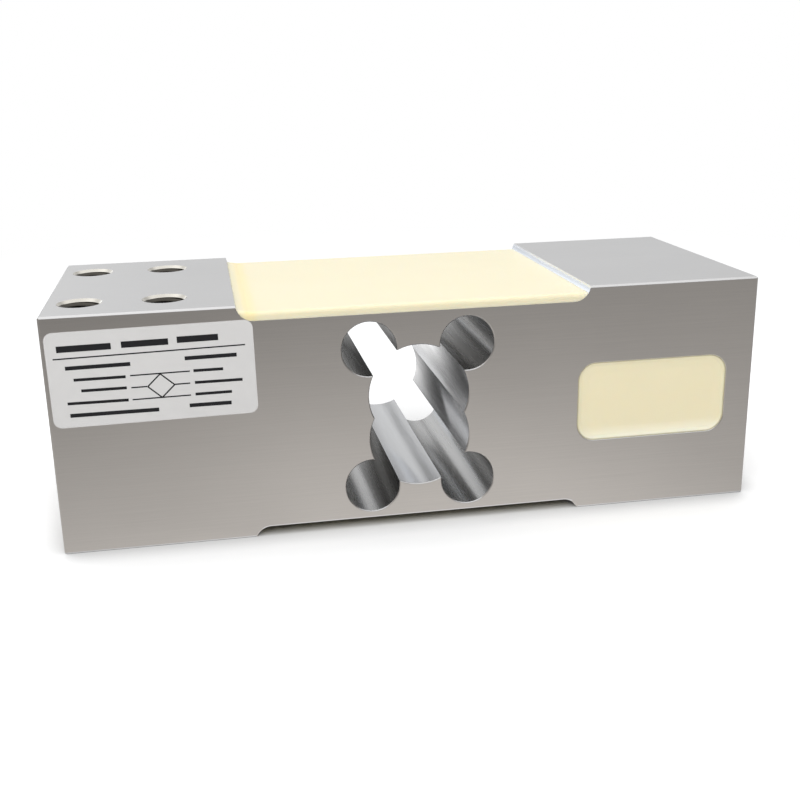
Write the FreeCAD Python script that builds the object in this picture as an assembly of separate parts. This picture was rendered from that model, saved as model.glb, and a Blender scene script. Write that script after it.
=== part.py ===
import FreeCAD, Part
import math
import os

from FreeCAD import Vector

# A single point load cell: an aluminium bending beam with a through cavity, gauged in a shallow
# recess on its top and on its bottom, with its trim board potted in a pocket on its front face.
# Millimetres. The origin is the middle of the underside, +X runs along the beam to the base end,
# the front face looks along -Y, and +Z is up.

# Beam block
BEAM_LENGTH = 150.0
BEAM_WIDTH = 58.0
BEAM_HEIGHT = 50.0
EDGE_BREAK = 0.4

# Gauging recesses, milled right across the beam
TOP_RECESS_LENGTH = 74.0
TOP_RECESS_DEPTH = 3.2
BOTTOM_RECESS_LENGTH = 71.0
BOTTOM_RECESS_DEPTH = 2.0
RECESS_CUTTER_RADIUS = 3.5

# Flexure cavity: four lobes that leave a thin web each, joined by two large bores
LOBE_RADIUS = 5.8
LOBE_SPACING = 20.7
WEB_THICKNESS = 1.6
BORE_RADIUS = 10.7
BORE_SPACING = 9.4
CAVITY_RIM_BREAK = 0.2

# Threaded mounting holes: four in the top of the load end, four in the underside of the base end
THREAD_RADIUS = 4.0
THREAD_MOUTH_RADIUS = 4.6
HOLE_SPACING_X = 17.0
HOLE_SPACING_Y = 34.5
HOLE_END_DISTANCE = 7.0
LOAD_HOLE_DEPTH = 18.0
BASE_HOLE_DEPTH = 11.0
DRILL_POINT_ANGLE = 118.0

# Side pocket for the trim board
POCKET_LENGTH = 34.0
POCKET_HEIGHT = 17.6
POCKET_DEPTH = 9.0
POCKET_CORNER_RADIUS = 4.0
POCKET_END_DISTANCE = 6.1
POCKET_RIM_BREAK = 0.12

# Drilled ways: the cable bore from the base end, and an oblique way for the leads of each recess
CABLE_BORE_RADIUS = 2.6
CABLE_BORE_CHAMFER = 0.5
CABLE_FACE_DISTANCE = 5.0
LEAD_WAY_RADIUS = 1.8
LEAD_WAY_EDGE_DISTANCE = 2.3
LEAD_WAY_FACE_DISTANCE = 4.2

# Potting compound. In a recess it is drawn up the load end's wall and level at the base end. In
# the side pocket it is drawn up all round, in slopes of a rise and a run from the wall inwards.
TOP_POTTING_THICKNESS = 1.8
BOTTOM_POTTING_THICKNESS = 1.0
BOTTOM_POTTING_SETBACK = 2.0
POTTING_EDGE_RADIUS = 0.9
WETTING_RISE = 0.4
WETTING_RUN = 2.2
SIDE_POTTING_SETBACK = 0.15
SIDE_WETTING_SLOPES = ((0.34, 0.9), (0.16, 1.7))

# Foil label
LABEL_LENGTH = 40.4
LABEL_HEIGHT = 19.5
LABEL_THICKNESS = 0.12
LABEL_CORNER_RADIUS = 1.7
LABEL_END_DISTANCE = 0.85
LABEL_TOP_DISTANCE = 3.0
LABEL_TILT = 0.6

# Strain gauges: polyimide carrier with a raised foil grid and two solder tabs
GAUGE_LENGTH = 9.0
GAUGE_WIDTH = 6.4
CARRIER_THICKNESS = 0.1
FOIL_THICKNESS = 0.05
GRID_LENGTH = 4.6
GRID_STRANDS = 8
STRAND_WIDTH = 0.24
STRAND_GAP = 0.2
END_LOOP_LENGTH = 0.5
TAB_LENGTH = 1.5
TAB_WIDTH = 1.5
TAB_SPACING = 2.4
TAB_EDGE_DISTANCE = 0.5

# Terminal strip between the two gauges of a face
STRIP_GAP = 2.4
STRIP_WIDTH = 4.2
STRIP_PADS = 3
STRIP_PAD_WIDTH = 2.2
STRIP_PAD_GAP = 0.5
STRIP_RIBBON_OFFSET = 0.3
STRIP_LEAD_OFFSET = 0.35

# Flat ribbon jumpers from the gauges to the strip
JUMPER_WIDTH = 0.4
JUMPER_THICKNESS = 0.1
JUMPER_RISE = 0.35

# Insulated leads. Their sections are hexagons, because they are too fine for a round one to show.
SECTION_SIDES = 6
LEAD_RADIUS = 0.25
LEAD_PITCH = 1.0
LEAD_BEND_RADIUS = 1.4

# Solder joints, four sided like their pads
SOLDER_WIDTH = 1.3
SOLDER_TOP_WIDTH = 0.7
SOLDER_HEIGHT = 0.45

# Trim board in the side pocket
BOARD_CLEARANCE = 1.5
BOARD_THICKNESS = 1.0
BOARD_PAD_SIZE = 1.6
BOARD_COPPER_THICKNESS = 0.05
LEAD_PAD_START = 11.6
LEAD_PAD_PITCH = 2.0
LEAD_PAD_ROW_OFFSET = 3.0
CABLE_PAD_COLUMNS = 2
CABLE_PAD_ROWS = 3
CABLE_PAD_PITCH = 3.2
CABLE_PAD_END_DISTANCE = 2.4

# Chip resistors on the board
SMALL_CHIP_LENGTH = 2.0
SMALL_CHIP_WIDTH = 1.25
SMALL_CHIP_HEIGHT = 0.5
LARGE_CHIP_LENGTH = 3.2
LARGE_CHIP_WIDTH = 2.6
LARGE_CHIP_HEIGHT = 0.6
CHIP_CAP_LENGTH = 0.4
CHIP_CAP_THICKNESS = 0.05
SMALL_CHIP_START = 4.4
SMALL_CHIP_PITCH = 3.0
LARGE_CHIP_START = 21.4
CHIP_ROW_OFFSET = 3.0

# Places worked out from the sizes above
TOP_FLOOR = BEAM_HEIGHT - TOP_RECESS_DEPTH
BOTTOM_FLOOR = BOTTOM_RECESS_DEPTH
NEUTRAL_Z = (TOP_FLOOR + BOTTOM_FLOOR) / 2
FLOOR_DISTANCE = (TOP_FLOOR - BOTTOM_FLOOR) / 2
LOBE_OFFSET_Z = FLOOR_DISTANCE - WEB_THICKNESS - LOBE_RADIUS
FRONT_Y = -BEAM_WIDTH / 2
END_X = BEAM_LENGTH / 2
POCKET_RIGHT_X = END_X - POCKET_END_DISTANCE
POCKET_LEFT_X = POCKET_RIGHT_X - POCKET_LENGTH
POCKET_CENTRE_X = (POCKET_LEFT_X + POCKET_RIGHT_X) / 2
POCKET_FLOOR_Y = FRONT_Y + POCKET_DEPTH
CABLE_Y = FRONT_Y + CABLE_FACE_DISTANCE
LEAD_WAY_Y = FRONT_Y + LEAD_WAY_FACE_DISTANCE
BOARD_FACE_Y = POCKET_FLOOR_Y - BOARD_THICKNESS
COPPER_Y = BOARD_FACE_Y - BOARD_COPPER_THICKNESS
GAUGE_X = LOBE_SPACING / 2
FOIL_TOP = CARRIER_THICKNESS + FOIL_THICKNESS
LEAD_HEIGHT = FOIL_TOP + LEAD_RADIUS * math.cos(math.pi / SECTION_SIDES)

UP = Vector(0, 0, 1)

# How edges are picked: this near a plane, within this angle of an axis, and an opening's rim no
# farther than this beyond it
NEAR = 0.01
PICK_ANGLE = 5.0
RIM_MARGIN = 1.0


def recess_end_run(depth):
    """How far the cutter's radius reaches into the recess at its end."""
    reach = RECESS_CUTTER_RADIUS - depth
    return math.sqrt(RECESS_CUTTER_RADIUS ** 2 - reach ** 2)


BOTTOM_FLAT_HALF = BOTTOM_RECESS_LENGTH / 2 - recess_end_run(BOTTOM_RECESS_DEPTH)
TOP_FLAT_HALF = TOP_RECESS_LENGTH / 2 - recess_end_run(TOP_RECESS_DEPTH)
LEAD_WAY_X = min(TOP_FLAT_HALF, BOTTOM_FLAT_HALF) - LEAD_WAY_EDGE_DISTANCE


def recess_prism(length, depth):
    """The space of a recess across the beam, its floor at z = 0: a flat, and an arc of the cutter's
    radius up to the beam's face at each end."""
    half_length = length / 2
    flat = half_length - recess_end_run(depth)
    half_angle = math.acos(1 - depth / RECESS_CUTTER_RADIUS) / 2
    mid_x = flat + RECESS_CUTTER_RADIUS * math.sin(half_angle)
    mid_z = RECESS_CUTTER_RADIUS * (1 - math.cos(half_angle))
    left_end, right_end = Vector(-half_length, FRONT_Y, depth), Vector(half_length, FRONT_Y, depth)
    left_flat, right_flat = Vector(-flat, FRONT_Y, 0), Vector(flat, FRONT_Y, 0)
    outline = [
        Part.Arc(left_end, Vector(-mid_x, FRONT_Y, mid_z), left_flat).toShape(),
        Part.LineSegment(left_flat, right_flat).toShape(),
        Part.Arc(right_flat, Vector(mid_x, FRONT_Y, mid_z), right_end).toShape(),
        Part.LineSegment(right_end, left_end).toShape(),
    ]
    return Part.Face(Part.Wire(outline)).extrude(Vector(0, BEAM_WIDTH, 0))


def on_top(shape):
    """Sets a shape, made with the floor at z = 0 and z outwards, on the top recess's floor."""
    return shape.translated(Vector(0, 0, TOP_FLOOR))


def on_bottom(shape):
    """The same on the bottom recess's floor, mirrored."""
    return shape.mirror(Vector(0, 0, 0), UP).translated(Vector(0, 0, BOTTOM_FLOOR))


def runs_along(edge, axis):
    """Whether an edge sets off along an axis, to within the picking angle."""
    heading = edge.tangentAt(edge.FirstParameter)
    return abs(heading.dot(axis)) > math.cos(math.radians(PICK_ANGLE))


def rounded_plate(length, height, thickness, corner_radius):
    """A plate in the XZ plane about the origin, from y = 0 to y = -thickness."""
    plate = Part.makeBox(length, thickness, height, Vector(-length / 2, -thickness, -height / 2))
    corners = [e for e in plate.Edges if runs_along(e, Vector(0, 1, 0))]
    return plate.makeFillet(corner_radius, corners)


def beam_blank():
    """The block's side profile with both recesses, and its edges broken."""
    blank = Part.makeBox(BEAM_LENGTH, BEAM_WIDTH, BEAM_HEIGHT, Vector(-END_X, FRONT_Y, 0))
    upper = recess_prism(TOP_RECESS_LENGTH, TOP_RECESS_DEPTH)
    lower = recess_prism(BOTTOM_RECESS_LENGTH, BOTTOM_RECESS_DEPTH)
    lengthways = Vector(1, 0, 0)
    end_edges = [e for e in blank.Edges if not runs_along(e, lengthways)]
    blank = blank.makeChamfer(EDGE_BREAK, end_edges)
    blank = blank.cut([on_top(upper), on_bottom(lower)])
    long_edges = []
    for edge in blank.Edges:
        box = edge.BoundBox
        outer = abs(abs(box.YMin) - BEAM_WIDTH / 2) < NEAR
        on_face = min(abs(box.ZMin), abs(box.ZMin - BEAM_HEIGHT)) < NEAR
        if runs_along(edge, lengthways) and outer and on_face:
            long_edges.append(edge)
    return blank.makeChamfer(EDGE_BREAK, long_edges)


def bore_along_y(x, z, radius):
    overrun = 1.0
    start = Vector(x, FRONT_Y - overrun, z)
    return Part.makeCylinder(radius, BEAM_WIDTH + 2 * overrun, start, Vector(0, 1, 0))


def cavity():
    """The flexure cavity: four lobes and two large bores, through the beam from front to back."""
    lobes = [
        bore_along_y(side_x * LOBE_SPACING / 2, NEUTRAL_Z + side_z * LOBE_OFFSET_Z, LOBE_RADIUS)
        for side_x in (-1, 1)
        for side_z in (-1, 1)
    ]
    bores = [
        bore_along_y(0, NEUTRAL_Z + side_z * BORE_SPACING / 2, BORE_RADIUS) for side_z in (-1, 1)
    ]
    return lobes[0].fuse(lobes[1:] + bores).removeSplitter()


def rim_edges(body, low_x, high_x, low_z, high_z):
    """The edges of openings in the front and back faces, between those limits."""
    rims = []
    for edge in body.Edges:
        box = edge.BoundBox
        on_face = abs(abs(box.YMin) - BEAM_WIDTH / 2) < NEAR and box.YLength < NEAR
        between = box.XMin > low_x and box.XMax < high_x and box.ZMin > low_z and box.ZMax < high_z
        if on_face and between:
            rims.append(edge)
    return rims


def threaded_hole(depth):
    """A drilled hole with its mouth at the origin, going down -Z: full bore, drill point and the
    countersunk mouth. The thread's own turns are finer than the solid shows."""
    point = THREAD_RADIUS / math.tan(math.radians(DRILL_POINT_ANGLE / 2))
    mouth = THREAD_MOUTH_RADIUS - THREAD_RADIUS
    outline = [
        Vector(0, 0, 0),
        Vector(THREAD_MOUTH_RADIUS, 0, 0),
        Vector(THREAD_RADIUS, 0, -mouth),
        Vector(THREAD_RADIUS, 0, -depth),
        Vector(0, 0, -depth - point),
        Vector(0, 0, 0),
    ]
    return Part.Face(Part.makePolygon(outline)).revolve(Vector(0, 0, 0), UP, 360)


def hole_pattern(depth, end, face_z, downwards):
    """Four threaded holes at one end of the beam. end is -1 for the load end and 1 for the base
    end. downwards is True where the holes are drilled down from the top face."""
    outer_row = END_X - HOLE_END_DISTANCE
    holes = []
    for row_x in (outer_row, outer_row - HOLE_SPACING_X):
        for side_y in (-1, 1):
            hole = threaded_hole(depth)
            if not downwards:
                hole = hole.mirror(Vector(0, 0, 0), UP)
            holes.append(hole.translated(Vector(end * row_x, side_y * HOLE_SPACING_Y / 2, face_z)))
    return holes


def pocket():
    """The side pocket's space, from its floor out to the front face."""
    space = rounded_plate(POCKET_LENGTH, POCKET_HEIGHT, POCKET_DEPTH, POCKET_CORNER_RADIUS)
    return space.translated(Vector(POCKET_CENTRE_X, POCKET_FLOOR_Y, NEUTRAL_Z))


def cable_bore():
    """The bore for the cable, from the base end's face into the pocket, with a broken mouth."""
    along = Vector(1, 0, 0)
    bore_start = Vector(POCKET_RIGHT_X, CABLE_Y, NEUTRAL_Z)
    bore = Part.makeCylinder(CABLE_BORE_RADIUS, END_X - bore_start.x, bore_start, along)
    mouth = Part.makeCone(
        CABLE_BORE_RADIUS,
        CABLE_BORE_RADIUS + CABLE_BORE_CHAMFER,
        CABLE_BORE_CHAMFER,
        Vector(END_X - CABLE_BORE_CHAMFER, CABLE_Y, NEUTRAL_Z),
        along,
    )
    return [bore, mouth]


def lead_way():
    """The oblique way for one recess's leads, with the floor at z = 0: it runs along the middle
    lead from above the floor until it is all through the pocket's wall."""
    corners = [lead_corners(lane) for lane in range(STRIP_PADS)]
    bend, pad = corners[STRIP_PADS // 2]
    heading = (pad - bend).normalize()
    wall_z = POCKET_HEIGHT / 2 - FLOOR_DISTANCE
    slant = math.sqrt(1 - heading.z ** 2)
    end_z = wall_z - LEAD_WAY_RADIUS * slant
    overrun = LEAD_WAY_RADIUS * slant / abs(heading.z)
    length = (bend.z - end_z) / abs(heading.z) + overrun
    return Part.makeCylinder(LEAD_WAY_RADIUS, length, bend - heading * overrun, heading)


def beam_body():
    body = beam_blank()
    cuts = [cavity(), pocket()]
    cuts += hole_pattern(LOAD_HOLE_DEPTH, -1, BEAM_HEIGHT, True)
    cuts += hole_pattern(BASE_HOLE_DEPTH, 1, 0, False)
    cuts += cable_bore()
    cuts += [on_top(lead_way()), on_bottom(lead_way())]
    body = body.cut(cuts)
    cavity_half = LOBE_SPACING / 2 + LOBE_RADIUS + RIM_MARGIN
    cavity_rims = rim_edges(
        body, -cavity_half, cavity_half, BOTTOM_FLOOR + RIM_MARGIN, TOP_FLOOR - RIM_MARGIN
    )
    body = body.makeChamfer(CAVITY_RIM_BREAK, cavity_rims)
    pocket_rims = rim_edges(
        body,
        POCKET_LEFT_X - RIM_MARGIN,
        POCKET_RIGHT_X + RIM_MARGIN,
        NEUTRAL_Z - POCKET_HEIGHT / 2 - RIM_MARGIN,
        NEUTRAL_Z + POCKET_HEIGHT / 2 + RIM_MARGIN,
    )
    return body.makeChamfer(POCKET_RIM_BREAK, pocket_rims)


def gauge():
    """One foil gauge about the origin, its solder tabs towards +X: a single long foil track that
    runs up and down the grid, with wide end loops, laminated on its carrier."""
    carrier = Part.makeBox(
        GAUGE_LENGTH, GAUGE_WIDTH, CARRIER_THICKNESS, Vector(-GAUGE_LENGTH / 2, -GAUGE_WIDTH / 2, 0)
    )
    pitch = STRAND_WIDTH + STRAND_GAP
    grid_right = GAUGE_LENGTH / 2 - TAB_EDGE_DISTANCE - TAB_LENGTH - END_LOOP_LENGTH
    grid_left = grid_right - GRID_LENGTH
    first_y = -pitch * (GRID_STRANDS - 1) / 2 - STRAND_WIDTH / 2

    def foil(x, y, length, width):
        corner = Vector(x, y, CARRIER_THICKNESS)
        return Part.makeBox(length, width, FOIL_THICKNESS, corner)

    track = []
    for strand in range(GRID_STRANDS):
        y = first_y + strand * pitch
        track.append(foil(grid_left, y, GRID_LENGTH, STRAND_WIDTH))
        last = strand == GRID_STRANDS - 1
        if not last:
            loop_x = grid_left - END_LOOP_LENGTH if strand % 2 == 0 else grid_right
            track.append(foil(loop_x, y, END_LOOP_LENGTH, pitch + STRAND_WIDTH))
    for side_y in (-1, 1):
        tab_centre = side_y * TAB_SPACING / 2
        tab_x = grid_right + END_LOOP_LENGTH
        track.append(foil(tab_x, tab_centre - TAB_WIDTH / 2, TAB_LENGTH, TAB_WIDTH))
        outer_strand = side_y * (pitch * (GRID_STRANDS - 1) / 2)
        feed_low = min(outer_strand - STRAND_WIDTH / 2, tab_centre)
        feed_high = max(outer_strand + STRAND_WIDTH / 2, tab_centre)
        track.append(foil(grid_right, outer_strand - STRAND_WIDTH / 2, END_LOOP_LENGTH, STRAND_WIDTH))
        track.append(foil(tab_x - STRAND_WIDTH, feed_low, STRAND_WIDTH, feed_high - feed_low))
    return carrier.fuse(track).removeSplitter()


def gauge_plates():
    """The plain room that each gauge of a face takes in the potting, over its raised foil."""
    corner = Vector(-GAUGE_LENGTH / 2, -GAUGE_WIDTH / 2, 0)
    plate = Part.makeBox(GAUGE_LENGTH, GAUGE_WIDTH, FOIL_TOP, corner)
    return [plate.translated(Vector(side_x * GAUGE_X, 0, 0)) for side_x in (-1, 1)]


def tab_points():
    """The middles of the two solder tabs on a gauge whose tabs point to +X."""
    x = GAUGE_LENGTH / 2 - TAB_EDGE_DISTANCE - TAB_LENGTH / 2
    return [Vector(x, side_y * TAB_SPACING / 2, FOIL_TOP) for side_y in (-1, 1)]


STRIP_LENGTH = LOBE_SPACING - GAUGE_LENGTH - 2 * STRIP_GAP
STRIP_PAD_PITCH = STRIP_LENGTH / STRIP_PADS
STRIP_PAD_LENGTH = STRIP_PAD_PITCH - STRIP_PAD_GAP


def strip_pad_points():
    first = -STRIP_PAD_PITCH * (STRIP_PADS - 1) / 2
    return [Vector(first + n * STRIP_PAD_PITCH, 0, FOIL_TOP) for n in range(STRIP_PADS)]


def terminal_strip():
    """The bonded strip between the gauges, with a copper pad for each end of the half bridge."""
    strip = Part.makeBox(
        STRIP_LENGTH, STRIP_WIDTH, CARRIER_THICKNESS, Vector(-STRIP_LENGTH / 2, -STRIP_WIDTH / 2, 0)
    )
    pads = []
    for point in strip_pad_points():
        corner = Vector(point.x - STRIP_PAD_LENGTH / 2, -STRIP_PAD_WIDTH / 2, CARRIER_THICKNESS)
        pads.append(Part.makeBox(STRIP_PAD_LENGTH, STRIP_PAD_WIDTH, FOIL_THICKNESS, corner))
    return strip.fuse(pads).removeSplitter()


def lead_section(centre, normal, across):
    """A lead's section about a centre, with the middle of one of its flats towards across."""
    side = normal.cross(across)
    corners = []
    for n in range(SECTION_SIDES + 1):
        angle = 2 * math.pi * (n + 1 / 2) / SECTION_SIDES
        corner = across * math.cos(angle) + side * math.sin(angle)
        corners.append(centre + corner * LEAD_RADIUS)
    return Part.Face(Part.makePolygon(corners))


def lead_wire(start, bend, end):
    """An insulated lead in two straight runs, joined by an arc that is tangent to both. The first
    run lies level on a floor."""
    heading = (bend - start).normalize()
    out = (end - bend).normalize()
    turn = heading.getAngle(out)
    setback = LEAD_BEND_RADIUS * math.tan(turn / 2)
    arc_start = bend - heading * setback
    arc_end = bend + out * setback
    hinge = heading.cross(out).normalize()
    centre = arc_start + hinge.cross(heading) * LEAD_BEND_RADIUS
    turned_up = FreeCAD.Rotation(hinge, math.degrees(turn)).multVec(UP)
    floor_run = lead_section(start, heading, UP).extrude(arc_start - start)
    corner = lead_section(arc_start, heading, UP).revolve(centre, hinge, math.degrees(turn))
    way_run = lead_section(arc_end, out, turned_up).extrude(end - arc_end)
    return floor_run.fuse([corner, way_run])


def arched_ribbon(start, end):
    """A flat ribbon in one arc between two points, standing up by the jumper's rise."""
    chord = end - start
    radius = (chord.Length ** 2 / 4 + JUMPER_RISE ** 2) / (2 * JUMPER_RISE)
    half_turn = math.asin(min(1.0, chord.Length / (2 * radius)))
    hinge = UP.cross(chord).normalize()
    centre = (start + end) * 0.5 - UP * (radius - JUMPER_RISE)
    outward = (start - centre).normalize()
    half_width = hinge * (JUMPER_WIDTH / 2)
    half_thickness = outward * (JUMPER_THICKNESS / 2)
    corners = [
        start + half_width + half_thickness,
        start - half_width + half_thickness,
        start - half_width - half_thickness,
        start + half_width - half_thickness,
    ]
    section = Part.Face(Part.makePolygon(corners + corners[:1]))
    return section.revolve(centre, hinge, math.degrees(2 * half_turn))


def jumpers():
    """The ribbons from the gauges' tabs to the strip, one gauge each side: the outer pads take one
    end of each gauge, and the middle pad takes the other end of both."""
    ribbons = []
    pads = strip_pad_points()
    first_tab, second_tab = tab_points()
    seat = Vector(0, 0, JUMPER_THICKNESS)
    pads = [pad + Vector(0, STRIP_RIBBON_OFFSET, 0) for pad in pads]
    for side_x, outer_pad in ((-1, pads[0]), (1, pads[-1])):
        middle_pad = pads[1] + Vector(side_x * JUMPER_WIDTH, 0, 0)
        for tab, pad in ((first_tab, outer_pad), (second_tab, middle_pad)):
            start = Vector(side_x * (GAUGE_X - tab.x), tab.y, FOIL_TOP)
            ribbons.append(arched_ribbon(start + seat, pad + seat))
    return ribbons


def lead_corners(lane):
    """Where one lead of a face bends into its way, and where it ends on the board, with the floor
    at z = 0. The lanes lie beside each other, from the load end's side to the base end's."""
    step = lane - (STRIP_PADS - 1) / 2
    bend = Vector(LEAD_WAY_X + step * LEAD_PITCH, LEAD_WAY_Y, LEAD_HEIGHT)
    pad_x, pad_z = lead_pad_place(lane)
    return bend, Vector(pad_x, COPPER_Y - LEAD_RADIUS, pad_z - FLOOR_DISTANCE)


def lead_pad_place(lane):
    """The x of a lead's pad on the board, and how far it is from the neutral plane."""
    return POCKET_LEFT_X + LEAD_PAD_START + lane * LEAD_PAD_PITCH, LEAD_PAD_ROW_OFFSET


def leads():
    """The insulated leads of one face, straight from the strip across the recess floor, and then
    down the oblique way onto the board."""
    wires = []
    for lane, strip_pad in enumerate(strip_pad_points()):
        start = Vector(strip_pad.x, -STRIP_LEAD_OFFSET, LEAD_HEIGHT)
        bend, pad = lead_corners(lane)
        wires.append(lead_wire(start, bend, pad))
    return wires


def solder_joint(point, direction):
    """A low joint of solder with sloping sides, its wide foot on a pad at the point."""
    foot = SOLDER_WIDTH / 2
    crown = SOLDER_TOP_WIDTH / 2
    joint = Part.makeWedge(
        -foot, 0, -foot, -crown, -crown, foot, SOLDER_HEIGHT, foot, crown, crown
    )
    joint.Placement = FreeCAD.Placement(point, FreeCAD.Rotation(Vector(0, 1, 0), direction))
    return joint


def face_solder(wires):
    """The solder joints of one face, on the tabs and on the strip, each round its wires."""
    points = strip_pad_points()
    for side_x in (-1, 1):
        for tab in tab_points():
            points.append(Vector(side_x * (GAUGE_X - tab.x), tab.y, FOIL_TOP))
    return [solder_joint(point, UP).cut(wires) for point in points]


def board():
    """The trim board, bonded to the pocket's floor: the pocket's outline less a clearance, with
    copper pads for the gauge leads and for the cable."""
    plate = rounded_plate(
        POCKET_LENGTH - 2 * BOARD_CLEARANCE,
        POCKET_HEIGHT - 2 * BOARD_CLEARANCE,
        BOARD_THICKNESS,
        POCKET_CORNER_RADIUS - BOARD_CLEARANCE,
    ).translated(Vector(POCKET_CENTRE_X, POCKET_FLOOR_Y, NEUTRAL_Z))
    centres = []
    for lane in range(STRIP_PADS):
        pad_x, pad_z = lead_pad_place(lane)
        centres += [(pad_x, NEUTRAL_Z + pad_z), (pad_x, NEUTRAL_Z - pad_z)]
    last_column = POCKET_RIGHT_X - BOARD_CLEARANCE - CABLE_PAD_END_DISTANCE
    for column in range(CABLE_PAD_COLUMNS):
        for row in range(CABLE_PAD_ROWS):
            step = row - (CABLE_PAD_ROWS - 1) / 2
            centres.append((last_column - column * CABLE_PAD_PITCH, NEUTRAL_Z + step * CABLE_PAD_PITCH))
    half = BOARD_PAD_SIZE / 2
    pads = []
    for x, z in centres:
        corner = Vector(x - half, COPPER_Y, z - half)
        pads.append(Part.makeBox(BOARD_PAD_SIZE, BOARD_COPPER_THICKNESS, BOARD_PAD_SIZE, corner))
    return plate.fuse(pads).removeSplitter()


def board_solder(wires):
    """The solder joints of the gauge leads on the board."""
    joints = []
    for lane in range(STRIP_PADS):
        pad_x, pad_z = lead_pad_place(lane)
        for z in (NEUTRAL_Z + pad_z, NEUTRAL_Z - pad_z):
            joints.append(solder_joint(Vector(pad_x, COPPER_Y, z), Vector(0, -1, 0)).cut(wires))
    return joints


def chip(length, width, height, x, z):
    """A chip resistor on the board, long side along Z, with its wrapped metal end caps."""
    def block(long, wide, high, z_low):
        corner = Vector(x - wide / 2, BOARD_FACE_Y - high, z_low)
        return Part.makeBox(wide, high, long, corner)

    low = z - length / 2
    body = block(length, width, height, low)
    cap_width = width + 2 * CHIP_CAP_THICKNESS
    cap_height = height + CHIP_CAP_THICKNESS
    caps = [
        block(CHIP_CAP_LENGTH, cap_width, cap_height, low),
        block(CHIP_CAP_LENGTH, cap_width, cap_height, low + length - CHIP_CAP_LENGTH),
    ]
    return body.fuse(caps).removeSplitter()


def small_chip(column, row):
    x = POCKET_LEFT_X + SMALL_CHIP_START + column * SMALL_CHIP_PITCH
    z = NEUTRAL_Z + row * CHIP_ROW_OFFSET
    return chip(SMALL_CHIP_LENGTH, SMALL_CHIP_WIDTH, SMALL_CHIP_HEIGHT, x, z)


def large_chip(row):
    x = POCKET_LEFT_X + LARGE_CHIP_START
    z = NEUTRAL_Z + row * CHIP_ROW_OFFSET
    return chip(LARGE_CHIP_LENGTH, LARGE_CHIP_WIDTH, LARGE_CHIP_HEIGHT, x, z)


def recess_potting(recess_length, depth, thickness, setback):
    """Potting in a recess, floor at z = 0: level, drawn up where it wets the load end's wall, and
    rounded over where it ends, that far inside the beam's front and back faces."""
    width = BEAM_WIDTH - 2 * setback
    fill_top = thickness + WETTING_RISE
    space = recess_prism(recess_length, depth)
    slab = Part.makeBox(BEAM_LENGTH, width, fill_top, Vector(-END_X, -width / 2, 0))
    filled = space.common(slab)
    half_length = filled.BoundBox.XMax
    corners = [
        Vector(-half_length, FRONT_Y, fill_top),
        Vector(WETTING_RUN - half_length, FRONT_Y, thickness),
        Vector(half_length, FRONT_Y, thickness),
        Vector(half_length, FRONT_Y, fill_top),
        Vector(-half_length, FRONT_Y, fill_top),
    ]
    dish = Part.Face(Part.makePolygon(corners)).extrude(Vector(0, BEAM_WIDTH, 0))
    filled = filled.cut(dish)
    rims = []
    for edge in filled.Edges:
        box = edge.BoundBox
        outer = abs(abs(box.YMin) - width / 2) < NEAR and box.YLength < NEAR
        upper = box.ZMin > thickness - NEAR
        if outer and upper:
            rims.append(edge)
    return filled.makeFillet(POTTING_EDGE_RADIUS, rims)


def side_potting():
    """Potting in the side pocket, dished in two slopes where it wets the pocket's wall."""
    level = POCKET_DEPTH - SIDE_POTTING_SETBACK
    filled = rounded_plate(POCKET_LENGTH, POCKET_HEIGHT, level, POCKET_CORNER_RADIUS)
    inset = 0
    for rise, run in SIDE_WETTING_SLOPES:
        scoop = rounded_plate(
            POCKET_LENGTH - 2 * inset,
            POCKET_HEIGHT - 2 * inset,
            POCKET_DEPTH,
            POCKET_CORNER_RADIUS - inset,
        )
        deep = [e for e in scoop.Edges if abs(e.BoundBox.YMin) < NEAR and e.BoundBox.YLength < NEAR]
        level -= rise
        inset += run
        filled = filled.cut(scoop.makeChamfer(rise, run, deep[:1]).translated(Vector(0, -level, 0)))
    return filled.translated(Vector(POCKET_CENTRE_X, POCKET_FLOOR_Y, NEUTRAL_Z))


def label():
    """The foil label on the front face, near the load end's top corner, set a little askew."""
    plate = rounded_plate(LABEL_LENGTH, LABEL_HEIGHT, LABEL_THICKNESS, LABEL_CORNER_RADIUS)
    plate.rotate(Vector(0, 0, 0), Vector(0, -1, 0), LABEL_TILT)
    middle = Vector(
        LABEL_END_DISTANCE + LABEL_LENGTH / 2 - END_X,
        FRONT_Y,
        BEAM_HEIGHT - LABEL_TOP_DISTANCE - LABEL_HEIGHT / 2,
    )
    return plate.translated(middle)


def face_pieces():
    """What lies on a recess floor, made with the floor at z = 0 and the base end at +X."""
    load_gauge = gauge().translated(Vector(-GAUGE_X, 0, 0))
    base_gauge = gauge()
    base_gauge.rotate(Vector(0, 0, 0), UP, 180)
    base_gauge = base_gauge.translated(Vector(GAUGE_X, 0, 0))
    jumper_ribbons = jumpers()
    lead_wires = leads()
    return {
        "gauge_load_end": [load_gauge],
        "gauge_base_end": [base_gauge],
        "terminal_strip": [terminal_strip()],
        "jumper_ribbons": jumper_ribbons,
        "lead_wires": lead_wires,
        "solder_joints": face_solder(jumper_ribbons + lead_wires),
    }


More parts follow.
